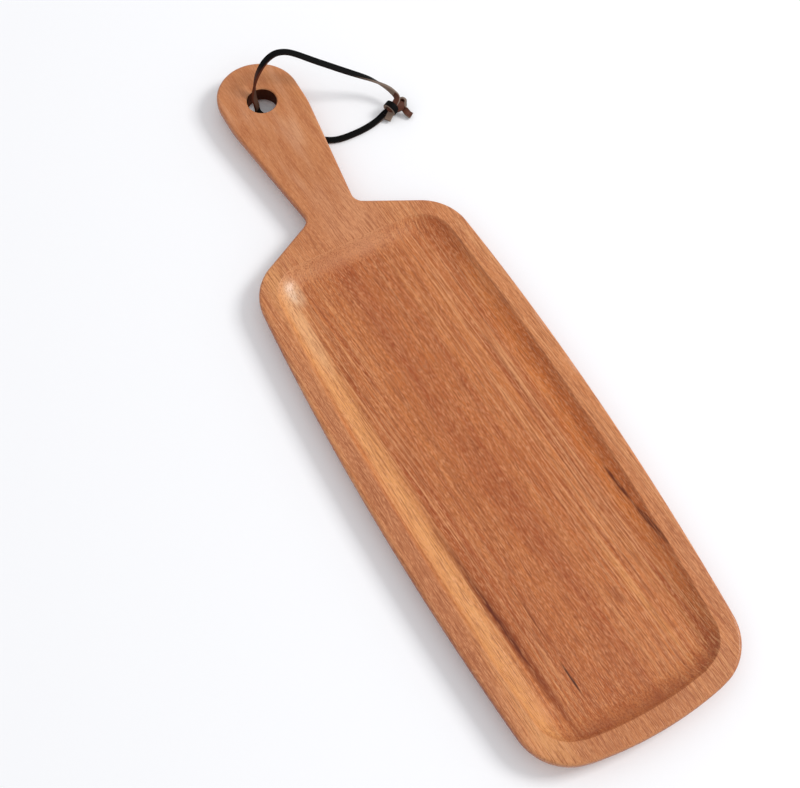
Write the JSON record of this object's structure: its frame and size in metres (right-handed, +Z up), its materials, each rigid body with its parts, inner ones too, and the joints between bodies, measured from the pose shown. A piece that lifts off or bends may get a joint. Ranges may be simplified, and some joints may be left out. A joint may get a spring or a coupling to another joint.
{
  "type": "serving board",
  "caption": "Long oak serving board with a carved tray, a round-ended handle and a knotted leather lace looped through the hole in the handle.",
  "frame": {"origin": "under the middle of the board's bounding box, on the surface that it stands on", "axes": "+Y along the board towards the handle's tip, +Z up out of the tray, +X across to the right"},
  "size_m": [0.2072, 0.6349, 0.0469],
  "materials": {
    "oiled_oak": "oiled, satin",
    "lace_leather": "smooth, waxed"
  },
  "bodies": {
    "board": {"board": "oiled_oak"},
    "thong": {"thong_upper": "lace_leather", "thong_lower": "lace_leather", "thong_knot": "lace_leather"}
  },
  "joints": [
    {"name": "thong_swing", "type": "hinge", "parent": "board", "child": "thong", "pos_m": [0, 0.2765, 0.01], "axis": [0, 0, 1], "range_deg": [-30, 260]}
  ]
}
